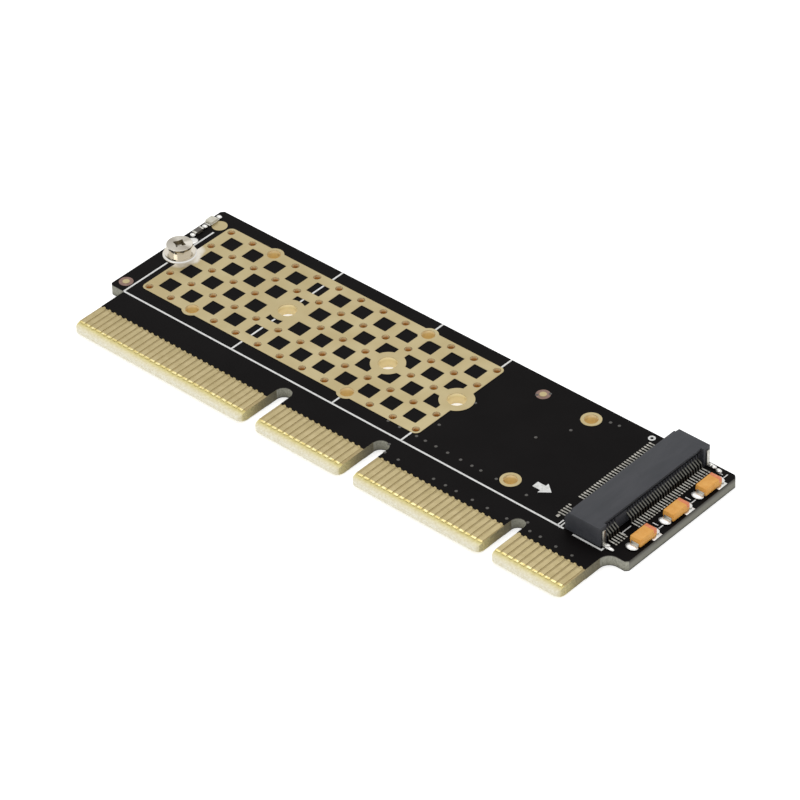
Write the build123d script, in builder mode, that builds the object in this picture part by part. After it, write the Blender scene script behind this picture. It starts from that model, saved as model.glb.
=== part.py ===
from build123d import *

import os

os.makedirs("parts", exist_ok=True)

# Adapter card that carries a 22 mm wide solid-state drive in a long expansion slot.
# Millimetres. The card lies on its back: X runs along it towards the drive socket,
# Y from the contact tongue to the far edge, Z up, with z = 0 on the underside and
# the origin in the middle of the card's outline.

# Board
board_thickness = 1.6
foil_thickness = 0.05
drive_width = 22.0
tongue_depth = 9.6
tongue_shoulder = 3.1
tongue_stub = 2.65
stub_corner = 0.5
body_corner = 0.4
shoulder_fillet = 1.5
tongue_corner = 0.8
bevel_length = 1.3
bevel_rise = 0.42

# Edge contacts, counted from the socket end, with the places left out between the groups
contact_groups = (11, 21, 14, 30)
places_left_out = (2, 3, 3)
contact_pitch = 1.0
contact_width = 0.7
contact_length = 4.0
contact_drop = 4.3
contact_end_margin = 0.625
key_notch_clearance = 0.1
side_notch_clearance = 0.45
key_notch_drop = 1.9
side_notch_drop = 1.3

# Screw places for each drive length, measured from the stop in the socket
drive_lengths = (80.0, 60.0, 42.0, 30.0)
length_hole_radius = 1.3
length_land_radius = 2.4
standoff_margin = 2.5

# Thermal lattice of bare plated copper, with its small vias and heat-sink pin holes
via_pitch = 4.0
via_columns = 13
via_rows = 5
via_radius = 0.45
via_sides = 6
lattice_gap = 2.0
strap_width = 1.7
lattice_corner = 0.5
pin_hole_columns = (2, 9)
pin_hole_radius = 0.95
pin_land_radius = 1.42
outer_pins_from_stop = 14.0

# The foil's round edges are drawn with this many sides
foil_sides = 12

# Standoff
standoff_height = 1.45
standoff_radius = 1.55
flange_radius = 2.15
flange_thickness = 0.45
thread_radius = 0.8
standoff_land_radius = 2.4
screw_relief_radius = 1.1

# Drive socket, measured from the stop that the drive's edge meets
end_block_width = 1.275
socket_height = 2.9
end_block_front = 1.9
end_block_back = 3.1
wing_front = 2.6
wing_height = 2.1
top_front = 2.2
top_back = 2.65
jaw_front = 3.3
jaw_inset = 0.7
jaw_height = 0.95
mouth_floor = 1.35
mouth_height = 0.95
mouth_lead = 0.3
drive_edge_width = 19.85
mouth_clearance = 0.12
chamber_front = 1.6
chamber_back = 0.9
chamber_roof = 2.5
comb_back = 2.45
comb_height = 1.95
comb_slot = 0.28
comb_slot_floor = 0.9
contact_relief = 0.3
key_rib_width = 1.0

# Socket contacts on a quarter-millimetre stagger
drive_contact_pitch = 0.5
drive_contact_count = 75
first_key_place = 59
last_key_place = 66
drive_contact_width = 0.2
drive_contact_sheet = 0.13
rear_tail_reach = 4.3
front_tail_reach = 5.1
riser_inset = 0.1
rear_foot_length = 1.1
rear_leg_lean = 0.12
rear_shoulder_height = 0.85
rear_bend_back = 1.0
roof_clearance = 0.15
tip_bite = 0.12
upper_tip = 1.2
lower_tip = -0.3
lower_beam_root = 1.0

# Hold-down straps at the socket's rear corners
hold_down_sheet = 0.2
hold_down_height = 2.4
hold_down_foot = 0.8
hold_down_breadth = 0.5
hold_down_inset = 0.3

# Tantalum capacitors in a row along the socket end
capacitor_count = 3
capacitor_row_margin = 4.5
capacitor_row_shift = 0.25
capacitor_length = 3.5
capacitor_width = 1.75
capacitor_height = 1.25
capacitor_taper = 4.0
capacitor_gap = 1.05
edge_margin = 0.4
terminal_sheet = 0.12
terminal_width = 1.2
terminal_height = 0.65
terminal_foot = 0.8
solder_length = 1.0
solder_height = 0.5
solder_width = 1.75

# Lamp, resistor and lands in the corner beside the standoff
lamp_margin = 0.08
lamp_length = 2.0
lamp_width = 1.2
lamp_height = 0.5
lamp_substrate_height = 0.2
lamp_lens_length = 1.3
lamp_from_far_edge = 2.9
resistor_length = 1.6
resistor_width = 0.8
resistor_height = 0.45
resistor_cap = 0.3
resistor_margin = 0.5
resistor_from_far_edge = 5.8
test_land_radius = 1.1
test_land_from_edge = 2.2
fiducial_radius = 0.5
corner_fiducial_inset = 1.3
corner_fiducial_above_edge = 1.8
far_fiducial_from_stop = 22.15

# White printed lines
ink_thickness = 0.02
line_width = 0.27
line_from_standoff = 0.1
line_land_gap = 0.1
socket_line_gap = 0.15
socket_line_start = 1.1
socket_line_length = 4.5
front_line_end = 2.7
line_land_clearance = 0.5
arrow_length = 2.7
arrow_width = 2.2
arrow_tail_width = 1.1
arrow_tail_length = 1.3
arrow_tip_from_stop = 8.4
arrow_below_axis = 6.6
ring_mark_radius = 0.5
ring_mark_from_stop = 5.6
ring_mark_above_axis = 10.0
socket_line_leg = 0.6
mark_width = 0.15
polarity_mark_gap = 0.5
polarity_mark_length = 0.85
polarity_bar_inset = 0.15
key_mark_back = 3.4
key_mark_length = 1.8
key_mark_leg = 0.6

# Outline of the card: the body is as wide as the drive, and as long as the drive with its
# socket and capacitors or as the contact tongue with its shoulders, whichever is longer.
contact_places = sum(contact_groups) + sum(places_left_out)
tongue_length = (contact_places - 1) * contact_pitch + 2 * contact_end_margin
stop_to_edge = rear_tail_reach + capacitor_gap + capacitor_width + edge_margin
length_for_drive = standoff_margin + max(drive_lengths) + stop_to_edge
length_for_tongue = tongue_stub + tongue_length + tongue_shoulder
board_length = max(length_for_drive, length_for_tongue)

x_left = -board_length / 2
x_right = board_length / 2
y_tip = -(drive_width + tongue_depth) / 2
y_body = y_tip + tongue_depth
y_axis = y_body + drive_width / 2
y_mask = y_body - contact_drop
z_top = board_thickness
z_laminate = board_thickness - foil_thickness

x_stop = x_right - stop_to_edge
x_standoff = x_stop - max(drive_lengths)
x_lattice = x_standoff + lattice_gap
tongue_right = x_right - tongue_shoulder
tongue_left = tongue_right - tongue_length


def contact_places_along_edge():
    """Contact centres from the socket end, and for each notch its middle and the width of its gap."""
    centres = []
    gaps = []
    x = tongue_right - contact_end_margin
    for index, group in enumerate(contact_groups):
        for _ in range(group):
            centres.append(x)
            x -= contact_pitch
        if index < len(places_left_out):
            gap = (places_left_out[index] + 1) * contact_pitch
            gaps.append((x + contact_pitch - gap / 2, gap - contact_width))
            x -= places_left_out[index] * contact_pitch
    return centres, gaps


contact_centres, notch_gaps = contact_places_along_edge()

# Holes right through the board
length_holes = [(x_stop - length, y_axis) for length in drive_lengths if length < max(drive_lengths)]
pin_rows = (y_axis - (via_rows - 1) / 2 * via_pitch, y_axis + (via_rows - 1) / 2 * via_pitch)
lattice_pin_holes = [(x_lattice + column * via_pitch, y) for column in pin_hole_columns for y in pin_rows]
outer_pin_holes = [(x_stop - outer_pins_from_stop, y) for y in pin_rows]
standoff_place = (x_standoff, y_axis)


def apart(first, second):
    return ((first[0] - second[0]) ** 2 + (first[1] - second[1]) ** 2) ** 0.5


def via_is_free(place):
    """A via is left out where a land round a larger hole takes its place."""
    lands = [(hole, length_land_radius) for hole in length_holes]
    lands += [(hole, pin_land_radius) for hole in lattice_pin_holes]
    lands.append((standoff_place, standoff_land_radius))
    return all(apart(place, hole) > radius + via_radius / 2 for hole, radius in lands)


vias = []
for column in range(via_columns):
    for row in range(via_rows):
        place = (x_lattice + column * via_pitch, pin_rows[0] + row * via_pitch)
        if via_is_free(place):
            vias.append(place)

# Circuit board: routed outline, round-ended notches, bevelled contact edge and drilled holes
notches = []
for index, (middle, gap) in enumerate(notch_gaps):
    is_key = index == 0
    clearance = key_notch_clearance if is_key else side_notch_clearance
    drop = key_notch_drop if is_key else side_notch_drop
    notches.append((middle, gap - 2 * clearance, y_body - drop))


def tongue_relief(surface, inward):
    """Section across the contact edge that is taken off one face: foil step, then bevel."""
    return [
        (y_mask, surface),
        (y_mask, surface + inward * foil_thickness),
        (y_tip + bevel_length, surface + inward * foil_thickness),
        (y_tip, surface + inward * (foil_thickness + bevel_rise)),
        (y_tip, surface),
    ]


with BuildPart() as circuit_board:
    with BuildSketch() as board_outline:
        with Locations((0, y_axis)):
            Rectangle(board_length, drive_width)
        with Locations(((tongue_left + tongue_right) / 2, (y_tip + y_body) / 2)):
            Rectangle(tongue_length, tongue_depth)
        body_corners = [(x_left, y_body + drive_width), (x_right, y_body + drive_width), (x_right, y_body)]
        chamfer([board_outline.vertices().sort_by_distance(place)[0] for place in body_corners], body_corner)
        fillet(board_outline.vertices().sort_by_distance((x_left, y_body))[0], stub_corner)
        fillet(board_outline.vertices().sort_by_distance((tongue_right, y_body))[0], shoulder_fillet)
        for middle, width, notch_top in notches:
            with Locations((middle, notch_top - width / 2)):
                Circle(width / 2, mode=Mode.SUBTRACT)
                Rectangle(width, tongue_depth, align=(Align.CENTER, Align.MAX), mode=Mode.SUBTRACT)
        fillet(board_outline.vertices().group_by(Axis.Y)[0], tongue_corner)
    extrude(amount=board_thickness)
    with BuildSketch(Plane.YZ.offset(x_left)):
        Polygon(*tongue_relief(board_thickness, -1), align=None)
        Polygon(*tongue_relief(0, 1), align=None)
    extrude(amount=board_length, mode=Mode.SUBTRACT)
    with Locations(*[(x, y, z_top) for x, y in length_holes]):
        Hole(length_hole_radius)
    with Locations(*[(x, y, z_top) for x, y in lattice_pin_holes + outer_pin_holes]):
        Hole(pin_hole_radius)
    with Locations((x_standoff, y_axis, z_top)):
        Hole(screw_relief_radius)
circuit_board.part.label = "circuit_board"
export_step(circuit_board.part, "parts/circuit_board.step")


# Edge contacts: one row of plated fingers on each face
def contact_row(height):
    with BuildPart() as row:
        with BuildSketch(Plane.XY.offset(height)):
            with Locations(*[(x, y_mask - contact_length / 2) for x in contact_centres]):
                Rectangle(contact_width, contact_length)
        extrude(amount=foil_thickness)
    return row.part


edge_contacts_top = contact_row(z_laminate)
edge_contacts_top.label = "edge_contacts_top"
export_step(edge_contacts_top, "parts/edge_contacts_top.step")

edge_contacts_bottom = contact_row(0)
edge_contacts_bottom.label = "edge_contacts_bottom"
export_step(edge_contacts_bottom, "parts/edge_contacts_bottom.step")

# Thermal lattice: straps on the via pitch, round lands at the screw and pin holes, and
# a bite where the standoff's own land takes over
lattice_length = (via_columns - 1) * via_pitch
lattice_breadth = (via_rows - 1) * via_pitch


def disc(radius, mode=Mode.ADD):
    """A round foil edge: a polygon drawn about its circle, so that it never covers a hole."""
    RegularPolygon(radius, foil_sides, major_radius=False, mode=mode)


with BuildSketch() as lattice_metal:
    with Locations((x_lattice + lattice_length / 2, y_axis)):
        Rectangle(lattice_length + strap_width, lattice_breadth + strap_width)
        chamfer(lattice_metal.vertices(), lattice_corner)
        with GridLocations(via_pitch, via_pitch, via_columns - 1, via_rows - 1):
            Rectangle(via_pitch - strap_width, via_pitch - strap_width, mode=Mode.SUBTRACT)
    with Locations(*length_holes):
        disc(length_land_radius)
    with Locations(*lattice_pin_holes):
        disc(pin_land_radius)

with BuildPart() as thermal_lattice:
    with BuildSketch(Plane.XY.offset(z_top)):
        add(lattice_metal.sketch)
        with Locations(*length_holes):
            disc(length_hole_radius, mode=Mode.SUBTRACT)
        with Locations(*lattice_pin_holes):
            disc(pin_hole_radius, mode=Mode.SUBTRACT)
        with Locations(*vias):
            RegularPolygon(via_radius, via_sides, mode=Mode.SUBTRACT)
        with Locations(standoff_place):
            disc(standoff_land_radius, mode=Mode.SUBTRACT)
    extrude(amount=foil_thickness)
thermal_lattice.part.label = "thermal_lattice"
export_step(thermal_lattice.part, "parts/thermal_lattice.step")

# Plated lands round the two pin holes outside the lattice
with BuildPart() as pin_hole_lands:
    with BuildSketch(Plane.XY.offset(z_top)):
        with Locations(*outer_pin_holes):
            disc(pin_land_radius)
            disc(pin_hole_radius, mode=Mode.SUBTRACT)
    extrude(amount=foil_thickness)
pin_hole_lands.part.label = "pin_hole_lands"
export_step(pin_hole_lands.part, "parts/pin_hole_lands.step")

# Land that the standoff is soldered to
with BuildPart() as standoff_land:
    with BuildSketch(Plane.XY.offset(z_top)):
        with Locations(standoff_place):
            disc(standoff_land_radius)
            disc(screw_relief_radius, mode=Mode.SUBTRACT)
    extrude(amount=foil_thickness)
standoff_land.part.label = "standoff_land"
export_step(standoff_land.part, "parts/standoff_land.step")

# Drive standoff: turned pillar with a flange, tapped right through
standoff_foot = z_top + foil_thickness
standoff_top = z_top + standoff_height
with BuildPart() as drive_standoff:
    with BuildSketch(Plane.XZ.offset(-y_axis)):
        Polygon(
            (x_standoff + thread_radius, standoff_foot),
            (x_standoff + flange_radius, standoff_foot),
            (x_standoff + flange_radius, standoff_foot + flange_thickness),
            (x_standoff + standoff_radius, standoff_foot + flange_thickness),
            (x_standoff + standoff_radius, standoff_top),
            (x_standoff + thread_radius, standoff_top),
            align=None,
        )
    revolve(axis=Axis((x_standoff, y_axis, 0), (0, 0, 1)))
drive_standoff.part.label = "drive_standoff"
export_step(drive_standoff.part, "parts/drive_standoff.step")

# Small metal dots that the placement machine looks for, and the bare round test land
fiducial_places = [
    (x_left + corner_fiducial_inset, y_body + corner_fiducial_above_edge),
    (x_stop - far_fiducial_from_stop, pin_rows[1]),
]
with BuildPart() as fiducials:
    with BuildSketch(Plane.XY.offset(z_top)):
        with Locations(*fiducial_places):
            disc(fiducial_radius)
    extrude(amount=foil_thickness)
fiducials.part.label = "fiducials"
export_step(fiducials.part, "parts/fiducials.step")

y_lamp = y_body + drive_width - lamp_from_far_edge
with BuildPart() as test_land:
    with BuildSketch(Plane.XY.offset(z_top)):
        with Locations((x_left + test_land_from_edge, y_lamp)):
            disc(test_land_radius)
    extrude(amount=foil_thickness)
test_land.part.label = "test_land"
export_step(test_land.part, "parts/test_land.step")

# Places of the socket's contacts across the card
field_length = drive_contact_count * drive_contact_pitch / 2 + drive_contact_pitch
socket_length = field_length + 2 * end_block_width


def contact_y(place):
    return y_axis - (place - (drive_contact_count + 1) / 2) * drive_contact_pitch / 2


def places(first):
    """Every second place from the first one, without those that the key rib takes."""
    return [
        place
        for place in range(first, drive_contact_count + 1, 2)
        if not first_key_place <= place <= last_key_place
    ]


rear_row = [contact_y(place) for place in places(1)]
front_row = [contact_y(place) for place in places(2)]
key_y = (contact_y(first_key_place) + contact_y(last_key_place)) / 2

# Drive socket housing: a lower and an upper jaw joined by end blocks and the key rib,
# with a comb behind that parts the rear contacts
z_lip = mouth_floor + mouth_height


def on_section(points):
    """Points given forward of the stop and above the board, as places on the X-Z section."""
    return [(x_stop - forward, z_top + height) for forward, height in points]


def across(half_width, points, mode=Mode.ADD, middle=y_axis):
    """Extrude an X-Z section to both sides of a plane across the card."""
    with BuildSketch(Plane.XZ.offset(-middle)) as section:
        Polygon(*on_section(points), align=None)
    extrude(section.sketch, amount=half_width, both=True, mode=mode)


with BuildPart() as socket_housing:
    across(
        socket_length / 2,
        [
            (end_block_front, 0),
            (end_block_front, socket_height),
            (-end_block_back, socket_height),
            (-end_block_back, 0),
        ],
    )
    # Both jaws stand forward between the end blocks, the lower one further to lead the drive in
    across(
        socket_length / 2 - jaw_inset,
        [
            (top_front, mouth_floor),
            (top_front, socket_height),
            (end_block_front, socket_height),
            (end_block_front, mouth_floor),
        ],
    )
    across(
        socket_length / 2 - jaw_inset,
        [
            (jaw_front, contact_relief),
            (jaw_front, jaw_height),
            (jaw_front - mouth_lead, mouth_floor),
            (chamber_front, mouth_floor),
            (chamber_front, contact_relief),
        ],
    )
    # Wings that slope down in front of the end blocks
    for side in (-1, 1):
        across(
            jaw_inset / 2,
            [
                (end_block_front, 0),
                (end_block_front, socket_height),
                (wing_front, wing_height),
                (wing_front, 0),
            ],
            middle=y_axis + side * (socket_length - jaw_inset) / 2,
        )
    # Mouth with a flared upper lip
    across(
        drive_edge_width / 2 + mouth_clearance,
        [
            (jaw_front, mouth_floor),
            (0, mouth_floor),
            (0, z_lip),
            (top_front - mouth_lead, z_lip),
            (top_front, z_lip + mouth_lead),
            (jaw_front, z_lip + mouth_lead),
        ],
        mode=Mode.SUBTRACT,
    )
    # Contact chamber, open to the board, with the recess over and behind the comb
    across(
        field_length / 2,
        [
            (chamber_front, 0),
            (chamber_front, chamber_roof),
            (-top_back, chamber_roof),
            (-top_back, socket_height),
            (-end_block_back, socket_height),
            (-end_block_back, 0),
            (-comb_back, 0),
            (-comb_back, comb_height),
            (-chamber_back, comb_height),
            (-chamber_back, 0),
        ],
        mode=Mode.SUBTRACT,
    )
    # Relief under the lower jaw for the tails of the front contacts
    across(
        field_length / 2,
        [(jaw_front, 0), (jaw_front, contact_relief), (chamber_front, contact_relief), (chamber_front, 0)],
        mode=Mode.SUBTRACT,
    )
    # Key rib between the jaws
    across(
        key_rib_width / 2,
        [
            (top_front - mouth_lead, contact_relief),
            (top_front - mouth_lead, chamber_roof),
            (-chamber_back, chamber_roof),
            (-chamber_back, contact_relief),
        ],
        middle=key_y,
    )
    # Slots that part the comb's teeth
    with Locations(*[(x_stop + comb_back, y, z_top + comb_slot_floor) for y in rear_row]):
        Box(
            comb_back - chamber_back,
            comb_slot,
            comb_height - comb_slot_floor,
            align=(Align.MAX, Align.CENTER, Align.MIN),
            mode=Mode.SUBTRACT,
        )
socket_housing.part.label = "socket_housing"
export_step(socket_housing.part, "parts/socket_housing.step")


# Contacts of bent strip, one solid for each place
def strip_row(points, row):
    with BuildPart() as strips:
        for y in row:
            across(drive_contact_width / 2, points, middle=y)
    return strips.part


# Upper contacts: foot on the board behind the socket, leg and shoulder, a slope up through a
# comb slot, and forward under the roof to the tapered tip that presses on the drive
sheet = drive_contact_sheet
rear_heel = rear_tail_reach - rear_foot_length
rear_shoulder = rear_heel - rear_leg_lean
rear_bend_height = chamber_roof - roof_clearance
socket_upper_contacts = strip_row(
    [
        (-rear_tail_reach, 0),
        (-rear_tail_reach, sheet),
        (-rear_heel, sheet),
        (-rear_shoulder, rear_shoulder_height),
        (-rear_bend_back, rear_bend_height),
        (upper_tip, z_lip - tip_bite),
        (-rear_bend_back + sheet, rear_bend_height - sheet),
        (-rear_shoulder + sheet, rear_shoulder_height - sheet),
        (-rear_heel + sheet, 0),
    ],
    rear_row,
)
socket_upper_contacts.label = "socket_upper_contacts"
export_step(socket_upper_contacts, "parts/socket_upper_contacts.step")

# Lower contacts: tail on the board before the socket, under the lower jaw, up inside the
# chamber and back to the tapered tip below the drive
riser_front = chamber_front - riser_inset
socket_lower_contacts = strip_row(
    [
        (front_tail_reach, 0),
        (front_tail_reach, sheet),
        (riser_front, sheet),
        (riser_front, lower_beam_root),
        (lower_tip, mouth_floor + tip_bite),
        (riser_front - sheet, lower_beam_root - sheet),
        (riser_front - sheet, 0),
    ],
    front_row,
)
socket_lower_contacts.label = "socket_lower_contacts"
export_step(socket_lower_contacts, "parts/socket_lower_contacts.step")


# Hold-downs: bent tinned straps against the rear faces of the end blocks
def hold_down(name, side):
    inset = hold_down_inset + hold_down_breadth / 2
    with BuildPart() as strap:
        across(
            hold_down_breadth / 2,
            [
                (-end_block_back, 0),
                (-end_block_back, hold_down_height),
                (-end_block_back - hold_down_sheet, hold_down_height),
                (-end_block_back - hold_down_sheet, hold_down_sheet),
                (-end_block_back - hold_down_foot, hold_down_sheet),
                (-end_block_back - hold_down_foot, 0),
            ],
            middle=y_axis + side * (socket_length / 2 - inset),
        )
    strap.part.label = name
    export_step(strap.part, f"parts/{name}.step")


hold_down("socket_hold_down_near", -1)
hold_down("socket_hold_down_far", 1)

# Tantalum capacitors: moulded bodies, drafted both ways from the parting line, on bent
# terminals with a solder fillet at each end
x_capacitors = x_right - edge_margin - capacitor_width / 2
capacitor_pitch = (drive_width - 2 * capacitor_row_margin) / (capacitor_count - 1)
capacitor_rows = [
    y_axis + capacitor_row_shift + (index - (capacitor_count - 1) / 2) * capacitor_pitch
    for index in range(capacitor_count)
]
capacitor_body_height = capacitor_height - terminal_sheet
for number, y in enumerate(capacitor_rows, start=1):
    with BuildPart() as capacitor_body:
        with BuildSketch(Plane.XY.offset(z_top + terminal_sheet + capacitor_body_height / 2)):
            with Locations((x_capacitors, y)):
                Rectangle(capacitor_width, capacitor_length - 2 * terminal_sheet)
        extrude(amount=capacitor_body_height / 2, both=True, taper=capacitor_taper)
    name = f"capacitor_body_{number}"
    capacitor_body.part.label = name
    export_step(capacitor_body.part, f"parts/{name}.step")


def capacitor_ends():
    """Each end of each capacitor, with the direction that leads away from its body."""
    return [(y + end * capacitor_length / 2, end) for y in capacitor_rows for end in (-1, 1)]


with BuildPart() as capacitor_terminals:
    with BuildSketch(Plane.YZ.offset(x_capacitors)):
        for y, end in capacitor_ends():
            Polygon(
                (y, z_top),
                (y, z_top + terminal_height),
                (y - end * terminal_sheet, z_top + terminal_height),
                (y - end * terminal_sheet, z_top + terminal_sheet),
                (y - end * terminal_foot, z_top + terminal_sheet),
                (y - end * terminal_foot, z_top),
                align=None,
            )
    extrude(amount=terminal_width / 2, both=True)
capacitor_terminals.part.label = "capacitor_terminals"
export_step(capacitor_terminals.part, "parts/capacitor_terminals.step")

with BuildPart() as capacitor_solder:
    with BuildSketch(Plane.YZ.offset(x_capacitors)):
        for y, end in capacitor_ends():
            Polygon(
                (y, z_top),
                (y, z_top + solder_height),
                (y + end * 0.3 * solder_length, z_top + 0.4 * solder_height),
                (y + end * solder_length, z_top),
                align=None,
            )
    extrude(amount=solder_width / 2, both=True)
capacitor_solder.part.label = "capacitor_solder"
export_step(capacitor_solder.part, "parts/capacitor_solder.step")

# Chip lamp: a plated substrate with a clear moulded lens
x_lamp = x_left + lamp_margin + lamp_width / 2
with BuildPart() as lamp_lens:
    with BuildSketch(Plane.XY.offset(z_top + lamp_substrate_height)):
        with Locations((x_lamp, y_lamp)):
            Rectangle(lamp_width, lamp_lens_length)
    extrude(amount=lamp_height - lamp_substrate_height, taper=capacitor_taper)
lamp_lens.part.label = "lamp_lens"
export_step(lamp_lens.part, "parts/lamp_lens.step")


# Chip parts: a flat body between two plated ends
def chip(name, place, length, width, height, end, lift=0):
    x, y = place
    with BuildPart() as body:
        with BuildSketch(Plane.XY.offset(z_top + lift)):
            with Locations((x, y)):
                Rectangle(width, length - 2 * end)
        extrude(amount=height - lift)
    body.part.label = f"{name}_body"
    export_step(body.part, f"parts/{name}_body.step")
    with BuildPart() as ends:
        with BuildSketch(Plane.XY.offset(z_top)):
            with Locations((x, y - (length - end) / 2), (x, y + (length - end) / 2)):
                Rectangle(width, end)
        extrude(amount=height)
    ends.part.label = f"{name}_ends"
    export_step(ends.part, f"parts/{name}_ends.step")


lamp_end = (lamp_length - lamp_lens_length) / 2
chip("lamp", (x_lamp, y_lamp), lamp_length, lamp_width, lamp_substrate_height, lamp_end, lift=foil_thickness)
x_resistor = x_left + resistor_margin + resistor_width / 2
resistor_place = (x_resistor, y_body + drive_width - resistor_from_far_edge)
chip("resistor", resistor_place, resistor_length, resistor_width, resistor_height, resistor_cap)

# White print: the drive's outline, the drive length marks, the way-in arrow, a ring at the
# socket's first place, a corner mark behind its key and a bar at each capacitor's plus end
x_line = x_standoff + line_from_standoff
x_arrow = x_stop - arrow_tip_from_stop
y_arrow = y_axis - arrow_below_axis
arrow_neck = x_arrow - arrow_length + arrow_tail_length
polarity_mark_reach = capacitor_length / 2 + solder_length + polarity_mark_gap
with BuildPart() as printed_lines:
    with BuildSketch(Plane.XY.offset(z_top)):
        with Locations(*[(x, y_axis) for x, _ in length_holes]):
            Rectangle(line_width, drive_width)
        with Locations((x_line, y_axis)):
            Rectangle(line_width, drive_width)
        add(lattice_metal.sketch, mode=Mode.SUBTRACT)
        with Locations(standoff_place):
            disc(standoff_land_radius + line_land_gap, mode=Mode.SUBTRACT)
        with Locations((x_line, y_lamp - test_land_radius - line_land_clearance)):
            Rectangle(
                2 * line_width,
                drive_width,
                align=(Align.CENTER, Align.MIN),
                mode=Mode.SUBTRACT,
            )
        front_line_length = x_stop - front_line_end - tongue_left
        with Locations((tongue_left + front_line_length / 2, y_body)):
            Rectangle(front_line_length, line_width)
        socket_line = y_axis - socket_length / 2 - socket_line_gap - line_width / 2
        with Locations((x_stop - socket_line_start, socket_line)):
            Rectangle(socket_line_length, line_width, align=(Align.MIN, Align.CENTER))
        with Locations((x_stop - socket_line_start + socket_line_length, socket_line - line_width / 2)):
            Rectangle(line_width, socket_line_leg, align=(Align.MIN, Align.MIN))
        Polygon(
            (x_arrow, y_arrow),
            (arrow_neck, y_arrow + arrow_width / 2),
            (arrow_neck, y_arrow + arrow_tail_width / 2),
            (x_arrow - arrow_length, y_arrow + arrow_tail_width / 2),
            (x_arrow - arrow_length, y_arrow - arrow_tail_width / 2),
            (arrow_neck, y_arrow - arrow_tail_width / 2),
            (arrow_neck, y_arrow - arrow_width / 2),
            align=None,
        )
        with Locations((x_stop - ring_mark_from_stop, y_axis + ring_mark_above_axis)):
            disc(ring_mark_radius)
            disc(ring_mark_radius - line_width, mode=Mode.SUBTRACT)
        polarity_bar = x_capacitors - capacitor_width / 2 + polarity_bar_inset
        with Locations(*[(polarity_bar, y + polarity_mark_reach) for y in capacitor_rows]):
            Rectangle(polarity_mark_length, mark_width)
        with Locations(*[(x_capacitors + mark_width, y + polarity_mark_reach) for y in capacitor_rows]):
            Rectangle(mark_width, polarity_mark_length)
        with Locations((x_stop + key_mark_back, key_y)):
            Rectangle(mark_width, key_mark_length)
        with Locations((x_stop + key_mark_back, key_y - key_mark_length / 2)):
            Rectangle(key_mark_leg, mark_width, align=(Align.MIN, Align.CENTER))
    extrude(amount=ink_thickness)
printed_lines.part.label = "printed_lines"
export_step(printed_lines.part, "parts/printed_lines.step")
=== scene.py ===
import math

import bpy
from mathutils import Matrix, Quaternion, Vector


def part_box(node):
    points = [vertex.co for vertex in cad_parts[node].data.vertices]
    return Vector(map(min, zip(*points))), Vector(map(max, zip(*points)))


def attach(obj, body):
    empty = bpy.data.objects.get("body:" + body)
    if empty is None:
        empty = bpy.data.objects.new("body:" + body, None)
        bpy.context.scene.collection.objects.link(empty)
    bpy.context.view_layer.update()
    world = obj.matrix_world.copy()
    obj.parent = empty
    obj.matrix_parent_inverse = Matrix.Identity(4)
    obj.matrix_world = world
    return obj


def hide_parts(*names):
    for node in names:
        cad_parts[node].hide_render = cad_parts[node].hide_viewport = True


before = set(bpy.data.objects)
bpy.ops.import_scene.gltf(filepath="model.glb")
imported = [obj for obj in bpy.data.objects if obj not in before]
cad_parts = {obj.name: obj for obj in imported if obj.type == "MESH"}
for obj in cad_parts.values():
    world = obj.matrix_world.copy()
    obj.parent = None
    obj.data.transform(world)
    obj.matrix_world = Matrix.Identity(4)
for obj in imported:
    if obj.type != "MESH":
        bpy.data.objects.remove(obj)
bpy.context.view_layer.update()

# Circuit board. A glass-epoxy laminate with black solder mask on both faces, routed to its
# outline, drilled, plated in its holes and ground to a bevel along the contact edge.
mm = 0.001
board_low, board_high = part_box("circuit_board")
contacts_low, contacts_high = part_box("edge_contacts_top")
face = board_high[2]
contact_tip = board_low[1]
bevel_edge = contacts_low[1]
mask_edge = contacts_high[1]
stained_edge = mask_edge + 1.2 * mm
slack = 0.06 * mm

drive_width = 22 * mm
drive_length = 80 * mm
stop_inset = 7.5 * mm
axis_y = board_high[1] - drive_width / 2
stop_x = board_high[0] - stop_inset
standoff_x = stop_x - drive_length
via_pitch = 4 * mm
via_columns = 13
via_rows = 5
via_drill_radius = 0.48 * mm
via_margin = 0.2 * mm
lattice_x = standoff_x + via_pitch / 2
length_hole_radius = 1.3 * mm
length_holes = [(stop_x - length * mm, axis_y) for length in (60, 42, 30)]
land_radius = 2.4 * mm
pin_hole_radius = 0.95 * mm
pin_land_radius = 1.42 * mm
pin_columns = (2, 9, 16)
pin_rows = (-2, 2)
pin_holes = [
    (lattice_x + column * via_pitch, axis_y + row * via_pitch)
    for column in pin_columns
    for row in pin_rows
]


def linear(hex_colour):
    """An sRGB hex colour as the linear colour that shaders take."""
    channels = [int(hex_colour[i : i + 2], 16) / 255 for i in (1, 3, 5)]
    return (*[c / 12.92 if c <= 0.04045 else ((c + 0.055) / 1.055) ** 2.4 for c in channels], 1)


def add_node(tree, kind, links, stops=(), **settings):
    """Add a shader node with its settings and colour stops, each input fed by a socket or set."""
    node = tree.nodes.new(kind)
    for setting, value in settings.items():
        setattr(node, setting, value)
    for socket, source in links.items():
        if isinstance(source, bpy.types.NodeSocket):
            tree.links.new(source, node.inputs[socket])
        else:
            node.inputs[socket].default_value = source
    for index, (place, colour) in enumerate(stops):
        elements = node.color_ramp.elements
        element = elements[index] if index < 2 else elements.new(1.0)
        element.position = place
        element.color = linear(colour)
    return node


def new_material(name, colour, roughness, metallic=0.0, specular=0.5):
    """A material with its shader's own sockets set; returns it with its tree and shader."""
    material = bpy.data.materials.new(name)
    material.use_nodes = True
    material.diffuse_color = linear(colour)
    shader = material.node_tree.nodes["Principled BSDF"]
    shader.inputs["Base Color"].default_value = linear(colour)
    shader.inputs["Roughness"].default_value = roughness
    shader.inputs["Metallic"].default_value = metallic
    shader.inputs["Specular IOR Level"].default_value = specular
    return material, material.node_tree, shader


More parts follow.
